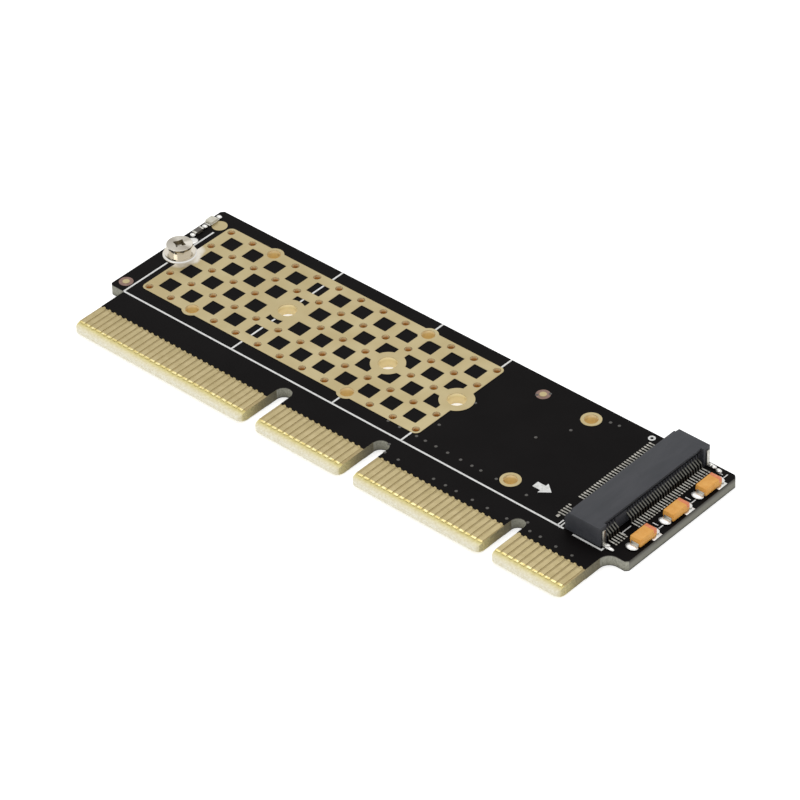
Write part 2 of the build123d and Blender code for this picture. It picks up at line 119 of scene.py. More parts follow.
def tones_in_grains(tree, grain, detail, *stops):
    """Colours mixed in irregular grains of about that size."""
    place = add_node(tree, "ShaderNodeTexCoord", {})
    links = {"Vector": place.outputs["Object"], "Scale": 1 / grain, "Detail": detail}
    noise = add_node(tree, "ShaderNodeTexNoise", links)
    return add_node(tree, "ShaderNodeValToRGB", {"Fac": noise.outputs["Fac"]}, stops).outputs["Color"]


def tones_along(tree, axis, low, high, *stops):
    """Colours at their places from low to high along object X, Y or Z."""
    place = add_node(tree, "ShaderNodeTexCoord", {})
    parts = add_node(tree, "ShaderNodeSeparateXYZ", {"Vector": place.outputs["Object"]})
    links = {"Value": parts.outputs[axis], "From Min": low, "From Max": high}
    share = add_node(tree, "ShaderNodeMapRange", links)
    return add_node(tree, "ShaderNodeValToRGB", {"Fac": share.outputs["Result"]}, stops).outputs["Color"]


def mottle(tree, shader, grain, *stops, detail=2.0):
    """Let the colour wander through its tones in patches of about that size."""
    tree.links.new(tones_in_grains(tree, grain, detail, *stops), shader.inputs["Base Color"])


def roughen(tree, shader, grain, depth, strength, detail=2.0):
    """Make the surface uneven, in grains of about that size and depth."""
    place = add_node(tree, "ShaderNodeTexCoord", {})
    links = {"Vector": place.outputs["Object"], "Scale": 1 / grain, "Detail": detail}
    noise = add_node(tree, "ShaderNodeTexNoise", links)
    links = {"Height": noise.outputs["Fac"], "Distance": depth, "Strength": strength}
    bump = add_node(tree, "ShaderNodeBump", links)
    tree.links.new(bump.outputs["Normal"], shader.inputs["Normal"])


def weave_over(tree, shader, tones, grain, detail, *stops):
    """Lay tones on the surface, darkened by the grain of the cut glass cloth."""
    weave = tones_in_grains(tree, grain, detail, *stops)
    links = {"Factor": 1.0, "A": tones, "B": weave}
    blend = add_node(tree, "ShaderNodeMix", links, data_type="RGBA", blend_type="MULTIPLY")
    tree.links.new(blend.outputs["Result"], shader.inputs["Base Color"])


# Solder mask: screened epoxy ink, cured satin black. The ink's flow gives it a faint ripple,
# drawn coarser than it is so that it shows, as every fine grain in this file is.
solder_mask, tree, shader = new_material("solder_mask", "#100e0e", 0.45, specular=0.03)
mottle(tree, shader, 6 * mm, (0.3, "#0e0c0c"), (0.7, "#121010"))
roughen(tree, shader, 0.25 * mm, 0.006 * mm, 0.5)

# Routed laminate edge: woven glass in resin, grey-cream and matt from the cutter, with the
# mask as a dark line along both faces.
routed_edge, tree, shader = new_material("routed_edge", "#b4b4a4", 0.6, specular=0.3)
layers = tones_along(
    tree,
    "Z",
    0,
    face,
    (0.0, "#2a2724"),
    (0.05, "#55534a"),
    (0.1, "#919082"),
    (0.45, "#a9a899"),
    (0.9, "#b3b2a4"),
    (0.97, "#4a4740"),
)
weave_over(tree, shader, layers, 0.18 * mm, 3.0, (0.3, "#c4c4c4"), (0.7, "#ffffff"))
roughen(tree, shader, 0.12 * mm, 0.02 * mm, 0.6)

# Tongue edge: the same routed laminate, where the bevel grinder's dust and the resin stain it,
# cream at the tip and olive brown towards the mask.
tongue_edge, tree, shader = new_material("tongue_edge", "#b4ab84", 0.6, specular=0.3)
stain = tones_along(
    tree,
    "Y",
    contact_tip,
    stained_edge,
    (0.0, "#f1e6b4"),
    (0.22, "#dccf94"),
    (0.55, "#a2966c"),
    (1.0, "#79735c"),
)
weave_over(tree, shader, stain, 0.18 * mm, 3.0, (0.3, "#c4c4c4"), (0.7, "#ffffff"))
roughen(tree, shader, 0.12 * mm, 0.02 * mm, 0.6)

# End laminate edge: the socket end, rougher than the routed edge and painted darker and greyer, as
# painted shade on this face, which is turned away from the key lamp, and darker in bands near both faces.
shaded_end_edge, tree, shader = new_material("shaded_end_edge", "#8b8b80", 0.7, specular=0.2)
layers = tones_along(
    tree,
    "Z",
    0,
    face,
    (0.0, "#34322e"),
    (0.2, "#8d8c80"),
    (0.6, "#84837a"),
    (0.85, "#5d5b54"),
    (0.97, "#3a3834"),
)
tree.links.new(layers, shader.inputs["Base Color"])
roughen(tree, shader, 0.15 * mm, 0.03 * mm, 0.6, detail=3.0)

# Bare laminate on the tongue: resin brown between the contacts, and on the ground bevel the
# cut glass, yellow below the contacts and paler towards the tip.
bare_laminate, tree, shader = new_material("bare_laminate", "#e6dfa8", 0.5, specular=0.35)
bevel_tones = tones_along(
    tree,
    "Y",
    contact_tip,
    mask_edge,
    (0.0, "#f0ecd8"),
    (0.09, "#ede5c2"),
    (0.16, "#e4d897"),
    (0.235, "#d8c77c"),
    (0.25, "#b5a271"),
    (1.0, "#aa996e"),
)
weave_over(tree, shader, bevel_tones, 0.3 * mm, 4.0, (0.35, "#f0ece2"), (0.65, "#ffffff"))
roughen(tree, shader, 0.15 * mm, 0.008 * mm, 0.4)

# Plated hole walls: copper under nickel and thin gold, rough from the drill, so half dull. The mouths are
# painted pale as a painted highlight; the pin hole and via walls are painted darker further down as painted
# shade, and the narrower a hole, the more orange its walls are painted, as painted reflection.
plated_walls = []
for name, highlight_mouth_colour, upper_colour, deep_colour in (
    ("length_hole_wall", "#f0e4bc", "#e3d29e", "#ead9aa"),
    ("pin_hole_wall", "#f6e8bf", "#e2c888", "#d8b870"),
    ("via_wall", "#fff0c4", "#dba24a", "#bd8230"),
):
    plated_wall, tree, shader = new_material(name, upper_colour, 0.4, metallic=0.5)
    tint = tones_along(tree, "Z", 0, face, (0.4, deep_colour), (0.7, upper_colour), (0.86, highlight_mouth_colour))
    tree.links.new(tint, shader.inputs["Base Color"])
    roughen(tree, shader, 0.35 * mm, 0.05 * mm, 0.7)
    plated_walls.append(plated_wall)


def discs(radius, places, low, high, sides):
    """Round discs or pins at the places from one height to another, joined."""
    bpy.ops.object.select_all(action="DESELECT")
    pins = []
    for x, y in places:
        middle = (x, y, (low + high) / 2)
        bpy.ops.mesh.primitive_cylinder_add(vertices=sides, radius=radius, depth=high - low, location=middle)
        pins.append(bpy.context.object)
    for pin in pins:
        pin.select_set(True)
    bpy.ops.object.join()
    bpy.ops.object.transform_apply()
    return bpy.context.object


def combine(piece, tool, operation):
    """Cut a piece with another solid, or join them, and throw the other away."""
    step = piece.modifiers.new(operation.lower(), "BOOLEAN")
    step.operation = operation
    step.solver = "EXACT"
    step.object = tool
    bpy.ops.object.select_all(action="DESELECT")
    bpy.context.view_layer.objects.active = piece
    piece.select_set(True)
    bpy.ops.object.modifier_apply(modifier=step.name)
    bpy.data.objects.remove(tool)


def drill(piece, radius, places, sides):
    """Bore round holes through a piece, from below the board to above it."""
    combine(piece, discs(radius, places, -mm, face + mm, sides), "DIFFERENCE")


def copy_solid(node, name):
    """A copy of a solid, its triangles merged and its flat faces made whole again."""
    bpy.ops.object.select_all(action="DESELECT")
    piece = bpy.data.objects.new(name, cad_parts[node].data.copy())
    bpy.context.collection.objects.link(piece)
    bpy.context.view_layer.objects.active = piece
    piece.select_set(True)
    bpy.ops.object.mode_set(mode="EDIT")
    bpy.ops.mesh.select_all(action="SELECT")
    bpy.ops.mesh.remove_doubles(threshold=0.001 * mm)
    bpy.ops.mesh.dissolve_limited(angle_limit=math.radians(1))
    bpy.ops.mesh.normals_make_consistent(inside=False)
    bpy.ops.object.mode_set(mode="OBJECT")
    return piece


def finish_piece(piece, name, slot, *materials):
    """Put the piece's place into its mesh and give it its name, materials and body."""
    bpy.ops.object.select_all(action="DESELECT")
    bpy.context.view_layer.objects.active = piece
    piece.select_set(True)
    bpy.ops.object.transform_apply()
    piece.name = name
    piece.data.name = name
    piece.data.materials.clear()
    for material in materials:
        piece.data.materials.append(material)
    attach(piece, "root")


def near_hole(point, holes, radius):
    """Whether a point is on the wall of one of the holes."""
    return any(math.hypot(point.x - x, point.y - y) < radius + slack for x, y in holes)


def via_is_free(x, y):
    """A via is left out where a larger hole's land takes its place."""
    lands = [(hole, land_radius) for hole in (*length_holes, (standoff_x, axis_y))]
    lands += [(hole, pin_land_radius) for hole in pin_holes]
    return all(math.dist((x, y), middle) > radius + via_margin for middle, radius in lands)


def board_finish(middle, normal):
    """What a face of the board is finished with, from its middle and the way it looks."""
    if abs(normal.z) > 0.7:
        return solder_mask if middle.y > mask_edge - slack else bare_laminate
    wall_holes = (length_holes, pin_holes, via_places)
    wall_radii = (length_hole_radius, pin_hole_radius, via_drill_radius)
    for plated_wall, holes, radius in zip(plated_walls, wall_holes, wall_radii):
        if near_hole(middle, holes, radius):
            return plated_wall
    # The end face at the socket takes the painted shade.
    if normal.x > 0.9 and middle.x > board_high[0] - slack:
        return shaded_end_edge
    if normal.y < -0.9 and abs(middle.y - mask_edge) < slack:
        return solder_mask
    if normal.y < -0.3 and middle.y < bevel_edge + slack:
        return bare_laminate
    return tongue_edge if middle.y < stained_edge else routed_edge


crossings = [
    (lattice_x + column * via_pitch, axis_y + (row - (via_rows - 1) / 2) * via_pitch)
    for column in range(via_columns)
    for row in range(via_rows)
]
via_places = [place for place in crossings if via_is_free(*place)]
board = copy_solid("circuit_board", "board")
drill(board, via_drill_radius, via_places, 24)
board_finishes = [solder_mask, routed_edge, bare_laminate, shaded_end_edge, *plated_walls, tongue_edge]
finish_piece(board, "board", "laminate", *board_finishes)
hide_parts("circuit_board")
for polygon in board.data.polygons:
    polygon.material_index = board_finishes.index(board_finish(polygon.center, polygon.normal))

# Edge contacts. Nickel and hard gold on copper foil, with rounded tops; the bevel grinder cuts
# their lower ends to a slope, painted bright on each as a painted highlight.
foil = 0.05 * mm
contact_groups = (11, 21, 14, 30)
places_left_out = (2, 3, 3, 0)
contact_pitch = 1.0 * mm
contact_width = 0.7 * mm
contact_round = 0.25 * mm
slope_run = 0.3 * mm

# Contact gold: hard gold plated on nickel, satin from the etched copper below it.
contact_gold, tree, shader = new_material("contact_gold", "#b3a47a", 0.33, metallic=1.0)
mottle(tree, shader, 1.5 * mm, (0.3, "#ac9d73"), (0.7, "#baab82"))
roughen(tree, shader, 0.1 * mm, 0.004 * mm, 0.5)

# Ground gold: the contacts' lower ends, scratched by the grinder and painted bright yellow as a painted
# highlight.
ground_gold_highlight, tree, shader = new_material("ground_gold_highlight", "#ddcf90", 0.3, metallic=0.7)
mottle(tree, shader, 0.5 * mm, (0.4, "#cdbb78"), (0.6, "#e9dca4"))
roughen(tree, shader, 0.1 * mm, 0.01 * mm, 0.5)


def block(size, middle=(0, 0, 0)):
    """A plain block to shape further, with its size and place in its mesh."""
    bpy.ops.object.select_all(action="DESELECT")
    bpy.ops.mesh.primitive_cube_add(size=1, location=middle)
    piece = bpy.context.object
    piece.scale = size
    bpy.ops.object.transform_apply()
    return piece


def deselect_mesh(piece):
    """Leave edit mode with nothing selected in the piece's mesh."""
    bpy.ops.object.mode_set(mode="OBJECT")
    for part in (piece.data.vertices, piece.data.edges, piece.data.polygons):
        for item in part:
            item.select = False


def round_corners(piece, wanted, width, segments):
    """Round the edges whose two ends pass the test."""
    deselect_mesh(piece)
    for edge in piece.data.edges:
        first, second = (piece.data.vertices[i].co for i in edge.vertices)
        edge.select = wanted(first, second)
    bpy.ops.object.mode_set(mode="EDIT")
    bpy.ops.mesh.select_mode(type="EDGE")
    bpy.ops.mesh.bevel(offset=width, segments=segments)
    bpy.ops.object.mode_set(mode="OBJECT")


def set_out(model, places):
    """Copy a small model to each place, join the copies and use the model up."""
    bpy.ops.object.select_all(action="DESELECT")
    for place in places:
        copy = model.copy()
        copy.data = model.data.copy()
        copy.location = place
        bpy.context.collection.objects.link(copy)
        copy.select_set(True)
        bpy.context.view_layer.objects.active = copy
    bpy.data.objects.remove(model)
    bpy.ops.object.join()
    bpy.ops.object.transform_apply()
    return bpy.context.object


contact_xs = []
x = contacts_high[0] - contact_width / 2
for group, left_out in zip(contact_groups, places_left_out):
    for _ in range(group):
        contact_xs.append(x)
        x -= contact_pitch
    x -= left_out * contact_pitch

for side, node in ((1, "edge_contacts_top"), (-1, "edge_contacts_bottom")):
    finger = block((contact_width, mask_edge - bevel_edge, foil))
    for vertex in finger.data.vertices:
        if vertex.co.y < 0 and vertex.co.z * side < 0:
            vertex.co.y -= slope_run
    round_corners(finger, lambda a, b: a.y > 0 and b.y > 0 and abs(a.x - b.x) < 0.001 * mm, contact_round, 5)
    height = face - foil / 2 if side > 0 else foil / 2
    row = set_out(finger, [(x, (mask_edge + bevel_edge) / 2, height) for x in contact_xs])
    name = node.replace("edge_contacts", "gold_fingers")
    finish_piece(row, name, "contact_gold", contact_gold, ground_gold_highlight)
    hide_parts(node)
    # The upward faces of the ground slopes take the painted highlight.
    for polygon in row.data.polygons:
        if polygon.center.y < bevel_edge and polygon.normal.z * side > 0:
            polygon.material_index = 1

# Thermal lattice. Copper foil left free of mask and plated with gold, with a via at each
# crossing and round lands at the larger holes, where it draws the drive's heat into the board.
strap = 1.7 * mm
lattice_top = face + foil
lattice_corner = 0.8 * mm
window_corner = 0.12 * mm
via_mouth_radius = 0.62 * mm
run_out_start = 3.3 * mm
run_out_end = 4.0 * mm
run_out_ragged = 1.2 * mm

# Lattice gold: thin soft gold on etched foil, matt and pale. Solder has run out over it in a
# silver ring round the standoff, whose edge noise makes ragged.
lattice_gold, tree, shader = new_material("lattice_gold", "#b5a67d", 0.36, metallic=1.0)
gold_tones = tones_in_grains(tree, 5 * mm, 2.0, (0.3, "#b0a077"), (0.7, "#baac85"))
place = add_node(tree, "ShaderNodeTexCoord", {})
links = {0: place.outputs["Object"], 1: (standoff_x, axis_y, face)}
reach = add_node(tree, "ShaderNodeVectorMath", links, operation="DISTANCE")
links = {"Vector": place.outputs["Object"], "Scale": 1 / (1.4 * mm), "Detail": 2.0}
noise = add_node(tree, "ShaderNodeTexNoise", links)
links = {0: noise.outputs["Fac"], 1: run_out_ragged, 2: reach.outputs["Value"]}
ragged = add_node(tree, "ShaderNodeMath", links, operation="MULTIPLY_ADD")
links = {"Value": ragged.outputs[0], "From Min": run_out_start, "From Max": run_out_end}
spread = add_node(tree, "ShaderNodeMapRange", links)
links = {"Factor": spread.outputs["Result"], "A": linear("#d8d3c8"), "B": gold_tones}
blend = add_node(tree, "ShaderNodeMix", links, data_type="RGBA")
tree.links.new(blend.outputs["Result"], shader.inputs["Base Color"])
roughen(tree, shader, 0.12 * mm, 0.005 * mm, 0.5)

span_x = (via_columns - 1) * via_pitch
span_y = (via_rows - 1) * via_pitch
lattice_pins = [hole for hole in pin_holes if hole[0] < lattice_x + span_x + via_pitch / 2]
lattice = block((span_x + strap, span_y + strap, foil), (lattice_x + span_x / 2, axis_y, face + foil / 2))
round_corners(lattice, lambda a, b: abs(a.z - b.z) > foil / 2, lattice_corner, 8)
combine(lattice, discs(land_radius, length_holes, face, lattice_top, 64), "UNION")
combine(lattice, discs(pin_land_radius, lattice_pins, face, lattice_top, 48), "UNION")

window = block((via_pitch - strap, via_pitch - strap, mm))
round_corners(window, lambda a, b: abs(a.z - b.z) > mm / 2, window_corner, 3)
window_places = [
    (lattice_x + (column + 0.5) * via_pitch, axis_y + (row - (via_rows - 2) / 2) * via_pitch, face)
    for column in range(via_columns - 1)
    for row in range(via_rows - 1)
]
windows = set_out(window, window_places)
drill(windows, land_radius, length_holes, 64)
drill(windows, pin_land_radius, lattice_pins, 48)
combine(lattice, windows, "DIFFERENCE")
drill(lattice, length_hole_radius, length_holes, 64)
drill(lattice, pin_hole_radius, lattice_pins, 48)
drill(lattice, land_radius, [(standoff_x, axis_y)], 64)

# Each via's mouth is a cone through the foil, a little narrower than the drill at the bottom.
bpy.ops.object.select_all(action="DESELECT")
bpy.ops.mesh.primitive_cone_add(
    vertices=24, radius1=via_drill_radius - 0.02 * mm, radius2=via_mouth_radius, depth=3 * foil
)
flare = set_out(bpy.context.object, [(x, y, face + foil / 2) for x, y in via_places])
combine(lattice, flare, "DIFFERENCE")
finish_piece(lattice, "lattice_foil", "land_gold", lattice_gold)
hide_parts("thermal_lattice")

# Plated lands. Round bare pads of the same gold-plated foil: round the two pin holes beside
# the lattice, under the standoff, and the probing pad in the corner.
relief_radius = 1.1 * mm
test_pad_radius = 1.1 * mm
outer_pins = [hole for hole in pin_holes if hole not in lattice_pins]
outer_lands = discs(pin_land_radius, outer_pins, face, lattice_top, 48)
drill(outer_lands, pin_hole_radius, outer_pins, 48)
finish_piece(outer_lands, "outer_lands", "land_gold", lattice_gold)
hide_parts("pin_hole_lands")

standoff_pad = discs(land_radius, [(standoff_x, axis_y)], face, lattice_top, 64)
drill(standoff_pad, relief_radius, [(standoff_x, axis_y)], 32)
finish_piece(standoff_pad, "standoff_pad", "land_gold", lattice_gold)
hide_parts("standoff_land")

pad_low, pad_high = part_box("test_land")
pad_middle = ((pad_low[0] + pad_high[0]) / 2, (pad_low[1] + pad_high[1]) / 2)
test_pad = discs(test_pad_radius, [pad_middle], face, lattice_top, 48)
finish_piece(test_pad, "test_pad", "land_gold", lattice_gold)
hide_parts("test_land")

# Fiducials. Small gold-plated foil dots that a placing machine looks for, each etched in the
# middle of a round window in the mask.
dot_low, dot_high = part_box("fiducials")
dot_radius = 0.5 * mm
dot_window_radius = 1.0 * mm
resin_film = 0.01 * mm
dots = [
    (dot_low[0] + dot_radius, dot_low[1] + dot_radius),
    (dot_high[0] - dot_radius, dot_high[1] - dot_radius),
]

# Clear resin: the laminate's bare surface in the windows, red-brown and slightly glossy.
clear_resin, tree, shader = new_material("clear_resin", "#86695f", 0.4, specular=0.3)
mottle(tree, shader, 0.4 * mm, (0.3, "#7c6056"), (0.7, "#94766a"))
dot_windows = discs(dot_window_radius, dots, face, face + resin_film, 40)
finish_piece(dot_windows, "fiducial_windows", "laminate", clear_resin)
fiducial_dots = discs(dot_radius, dots, face, lattice_top, 32)
finish_piece(fiducial_dots, "fiducial_dots", "land_gold", lattice_gold)
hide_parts("fiducials")

# Tented vias. Small signal vias, plated like the others and then covered by the mask, which
# stands up over each as a low bump; they follow the traces near the socket and the tongue.
tent_radius = 0.23 * mm
tent_flatness = 0.2
tented_places = [(x, -4.2) for x in (3.6, 5.6, 8.5, 10.0, 11.8, 13.8, 16.0, 17.9, 19.4, 22.0, 27.0)]
tented_places += [(x, -9.3) for x in (7.6, 9.9, 15.9, 17.9, 19.7, 22.4, 24.9, 28.1, 31.9, 33.6)]
tented_places += [(9.2, -0.6), (9.8, 5.8), (20.4, 5.4), (22.9, 9.4), (22.5, 12.0), (14.8, 12.2), (16.0, 13.5)]
tented_places += [(25.8, 13.9), (27.1, 14.1), (30.6, -8.2), (6.9, -7.7), (36.3, -9.5), (38.9, -9.5)]

# Tent ink: the same epoxy ink, thin and shiny where it domes, painted grey as a painted highlight for the
# light the domes catch.
tent_ink_highlight, tree, shader = new_material("tent_ink_highlight", "#4b4844", 0.3, specular=0.35)
roughen(tree, shader, 0.15 * mm, 0.01 * mm, 0.5)
bpy.ops.object.select_all(action="DESELECT")
bpy.ops.mesh.primitive_uv_sphere_add(segments=16, ring_count=8, radius=tent_radius)
tent = bpy.context.object
tent.scale = (1, 1, tent_flatness)
bpy.ops.object.transform_apply()
tented = set_out(tent, [(x * mm, y * mm, face) for x, y in tented_places])
bpy.ops.object.shade_smooth()
finish_piece(tented, "tented_vias", "laminate", tent_ink_highlight)

# Drive standoff. A turned and plated brass pillar on a flange, soldered to its land and tapped
# right through for the drive's screw.
standoff_low, standoff_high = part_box("drive_standoff")
flange_radius = 2.15 * mm
flange_height = 0.45 * mm
pillar_radius = 1.55 * mm
pillar_height = standoff_high[2] - standoff_low[2] - flange_height
top_chamfer = 0.12 * mm
thread_radius = 0.8 * mm
thread_mouth = 0.15 * mm
thread_pitch = 0.4 * mm
thread_flanks = 6
thread_growth = 1.1
tool_mark_phase = 90.0

# Turned plate: bright nickel on turned brass, mirror-like, drawn out sideways by the marks
# that the turning tool leaves round it. Their phase runs through so many radians in all.
turned_plate, tree, shader = new_material("turned_plate", "#ddd6c8", 0.14, metallic=1.0)
shader.inputs["Anisotropic"].default_value = 0.3
place = add_node(tree, "ShaderNodeTexCoord", {})
parts = add_node(tree, "ShaderNodeSeparateXYZ", {"Vector": place.outputs["Object"]})
links = {
    "Value": parts.outputs["Z"],
    "From Min": standoff_low[2],
    "From Max": standoff_high[2],
    "To Max": tool_mark_phase,
}
turning = add_node(tree, "ShaderNodeMapRange", links)
rings = add_node(tree, "ShaderNodeMath", {0: turning.outputs["Result"]}, operation="SINE")
links = {"Height": rings.outputs[0], "Distance": 0.001 * mm, "Strength": 0.4}
marks = add_node(tree, "ShaderNodeBump", links)
tree.links.new(marks.outputs["Normal"], shader.inputs["Normal"])


def select_face(piece, height, facing):
    """Go into edit mode with just the flat face at that height selected."""
    deselect_mesh(piece)
    for polygon in piece.data.polygons:
        level = abs(polygon.center.z - height) < 0.001 * mm
        polygon.select = level and polygon.normal.z * facing > 0.9 and len(polygon.vertices) > 4
    bpy.ops.object.mode_set(mode="EDIT")
    bpy.ops.mesh.select_mode(type="FACE")


def draw_out(rise, widening=1.0):
    """Extrude the selected face up or down and widen it about the standoff's middle."""
    bpy.ops.mesh.extrude_region_move(TRANSFORM_OT_translate={"value": (0, 0, rise)})
    pivot = (standoff_x, axis_y, standoff_high[2])
    bpy.ops.transform.resize(value=(widening, widening, 1), center_override=pivot)


bpy.ops.object.select_all(action="DESELECT")
middle = (standoff_x, axis_y, standoff_low[2] + flange_height / 2)
bpy.ops.mesh.primitive_cylinder_add(vertices=64, radius=flange_radius, depth=flange_height, location=middle)
standoff = bpy.context.object
bpy.ops.object.transform_apply()
select_face(standoff, standoff_low[2] + flange_height, 1)
bpy.ops.mesh.inset(thickness=flange_radius - pillar_radius)
draw_out(pillar_height - top_chamfer)
draw_out(top_chamfer, (pillar_radius - top_chamfer) / pillar_radius)
bpy.ops.mesh.inset(thickness=pillar_radius - top_chamfer - thread_radius - thread_mouth)
draw_out(-thread_mouth, thread_radius / (thread_radius + thread_mouth))
for flank in range(thread_flanks):
    draw_out(-thread_pitch / 2, thread_growth if flank % 2 == 0 else 1 / thread_growth)
bpy.ops.object.mode_set(mode="OBJECT")
bpy.ops.object.shade_smooth_by_angle(angle=math.radians(30))
finish_piece(standoff, "turned_standoff", "standoff_metal", turned_plate)
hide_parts("drive_standoff")

# Drive screw. A cold-headed and plated pan-head screw with a cross recess, run down on the
# standoff, whose thread it fills; it is undone to put a drive in.
head_radius = 1.82 * mm
head_height = 0.32 * mm
head_round = 0.1 * mm
head_top = standoff_high[2] + head_height
shank_radius = thread_radius - 0.08 * mm
shank_length = standoff_high[2] - standoff_low[2] - 0.3 * mm
recess_radius = 1.0 * mm
recess_waist = 0.62 * mm
recess_depth = 0.42 * mm
recess_turn = math.radians(20)

# Screw plate: nickel on steel, half bright, with painted highlights: pale sectors painted round the
# head, where a faintly turned face shows the studio's lamps.
screw_plate, tree, shader = new_material("screw_plate", "#b9b4a8", 0.22, metallic=1.0)
place = add_node(tree, "ShaderNodeTexCoord", {})
links = {"Vector": place.outputs["Object"], "Location": (-standoff_x, -axis_y, 0)}
centred = add_node(tree, "ShaderNodeMapping", links)
links = {"Vector": centred.outputs["Vector"]}
around = add_node(tree, "ShaderNodeTexGradient", links, gradient_type="RADIAL")
painted_lamp_highlights = (
    (0.0, "#a9a398"),
    (0.25, "#c4bfb4"),
    (0.5, "#a39c90"),
    (0.57, "#dfdacf"),
    (0.65, "#e3ded3"),
    (0.72, "#b4aea1"),
    (0.9, "#cdc8bd"),
    (1.0, "#a9a398"),
)
tint = add_node(tree, "ShaderNodeValToRGB", {"Fac": around.outputs["Fac"]}, painted_lamp_highlights)
tree.links.new(tint.outputs["Color"], shader.inputs["Base Color"])
roughen(tree, shader, 0.5 * mm, 0.02 * mm, 0.5)

# Recess shade: the cross recess painted dark brown and dull over the plating, as painted shade in the hollow.
recess_shade, tree, shader = new_material("recess_shade", "#4f4530", 0.5, metallic=0.7)
mottle(tree, shader, 0.3 * mm, (0.3, "#3c3424"), (0.7, "#63583f"))

bpy.ops.object.select_all(action="DESELECT")
middle = (standoff_x, axis_y, standoff_high[2] + head_height / 2)
bpy.ops.mesh.primitive_cylinder_add(vertices=64, radius=head_radius, depth=head_height, location=middle)
screw = bpy.context.object
bpy.ops.object.transform_apply()
round_corners(screw, lambda a, b: min(a.z, b.z) > head_top - 0.01 * mm, head_round, 5)
select_face(screw, standoff_high[2], -1)
bpy.ops.mesh.inset(thickness=head_radius - shank_radius)
draw_out(-shank_length)
bpy.ops.object.mode_set(mode="OBJECT")

# The recess is cut with its driver's tip: a taper of eight corners, every other one drawn in
# to leave a cross, sunk to the middle of its length.
bpy.ops.object.select_all(action="DESELECT")
bpy.ops.mesh.primitive_cone_add(
    vertices=8,
    radius1=0.5 * recess_radius,
    radius2=1.5 * recess_radius,
    depth=2 * recess_depth,
    location=(standoff_x, axis_y, head_top),
    rotation=(0, 0, recess_turn),
)
driver_tip = bpy.context.object
for vertex in driver_tip.data.vertices:
    from_arm = math.degrees(math.atan2(vertex.co.y, vertex.co.x)) % 90
    if 20 < from_arm < 70:
        vertex.co.x *= recess_waist / recess_radius
        vertex.co.y *= recess_waist / recess_radius
bpy.ops.object.transform_apply()
combine(screw, driver_tip, "DIFFERENCE")
bpy.ops.object.shade_smooth_by_angle(angle=math.radians(30))
finish_piece(screw, "drive_screw", "standoff_metal", screw_plate, recess_shade)
# Faces sunk in the recess take the painted shade.
for polygon in screw.data.polygons:
    away = math.hypot(polygon.center.x - standoff_x, polygon.center.y - axis_y)
    sunk = standoff_high[2] < polygon.center.z < head_top - 0.02 * mm
    if sunk and away < 1.2 * recess_radius and polygon.normal.z < 0.9:
        polygon.material_index = 1

# Socket housing. One injection moulding that guides the drive's edge, with a mouth towards the
# standoff and a comb of slots for the contacts behind; the mould rounds its edges a little.

# Glass-filled nylon: heat-proof, dark blue-grey and matt, with faint flow marks along it.
nylon, tree, shader = new_material("glass_filled_nylon", "#34353a", 0.55, specular=0.35)
place = add_node(tree, "ShaderNodeTexCoord", {})
links = {"Vector": place.outputs["Object"], "Scale": (1, 0.25, 1)}
stretched = add_node(tree, "ShaderNodeMapping", links)
links = {"Vector": stretched.outputs["Vector"], "Scale": 1 / (1.2 * mm), "Detail": 3.0}
streaks = add_node(tree, "ShaderNodeTexNoise", links)
flow_marks = ((0.3, "#313338"), (0.7, "#3a3b40"))
tint = add_node(tree, "ShaderNodeValToRGB", {"Fac": streaks.outputs["Fac"]}, flow_marks)
tree.links.new(tint.outputs["Color"], shader.inputs["Base Color"])
roughen(tree, shader, 0.08 * mm, 0.008 * mm, 0.5)


def round_edges(piece, width, segments=2):
    """Bevel every sharp edge a little and shade the rounds smooth."""
    edge_round = piece.modifiers.new("edge_round", "BEVEL")
    edge_round.width = width
    edge_round.segments = segments
    edge_round.limit_method = "ANGLE"
    edge_round.angle_limit = math.radians(25)
    bpy.ops.object.modifier_apply(modifier=edge_round.name)
    bpy.ops.object.shade_smooth_by_angle(angle=math.radians(30))


def dress(node, name, slot, width, *materials, segments=2):
    """Show a solid again, with its edges rounded and in its own finish."""
    piece = copy_solid(node, name)
    round_edges(piece, width, segments)
    finish_piece(piece, name, slot, *materials)
    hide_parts(node)
    return piece


dress("socket_housing", "socket_moulding", "socket_plastic", 0.04 * mm, nylon)

# Socket contacts. Stamped and bent strips of copper alloy, pressed into the moulding and
# soldered by their feet in a close row on each side of it.
tin_line = 0.28 * mm

# Tail tin: the feet are dipped in tin, which is grey-white and half bright.
tail_tin, tree, shader = new_material("tail_tin", "#a3a199", 0.35, metallic=1.0)
mottle(tree, shader, 0.6 * mm, (0.3, "#93918a"), (0.7, "#b2b0a8"))
roughen(tree, shader, 0.06 * mm, 0.004 * mm, 0.5)

# Nickel strip: above the tin line the strip keeps its nickel, painted dark as painted shadow where the
# moulding's shadow falls on it, and painted paler at the shoulder as a painted highlight.
nickel_shadow_strip, tree, shader = new_material("nickel_shadow_strip", "#5d5c56", 0.38, metallic=1.0)
shade = ((0.1, "#8d8b83"), (0.3, "#3a3936"), (0.8, "#4b4a46"), (0.95, "#6b6a63"))
tree.links.new(tones_along(tree, "Z", face, face + mm, *shade), shader.inputs["Base Color"])
roughen(tree, shader, 0.06 * mm, 0.004 * mm, 0.5)
for node, name in (("socket_upper_contacts", "upper_strips"), ("socket_lower_contacts", "lower_strips")):
    strips = dress(node, name, "socket_contact", 0.02 * mm, tail_tin, nickel_shadow_strip, segments=1)
    for polygon in strips.data.polygons:
        if polygon.center.z > face + tin_line:
            polygon.material_index = 1

# Hold-downs. Two straps of tinned brass bent down at the moulding's rear corners and soldered
# to the board, so that a drive pushed in doesn't pull on the contacts.

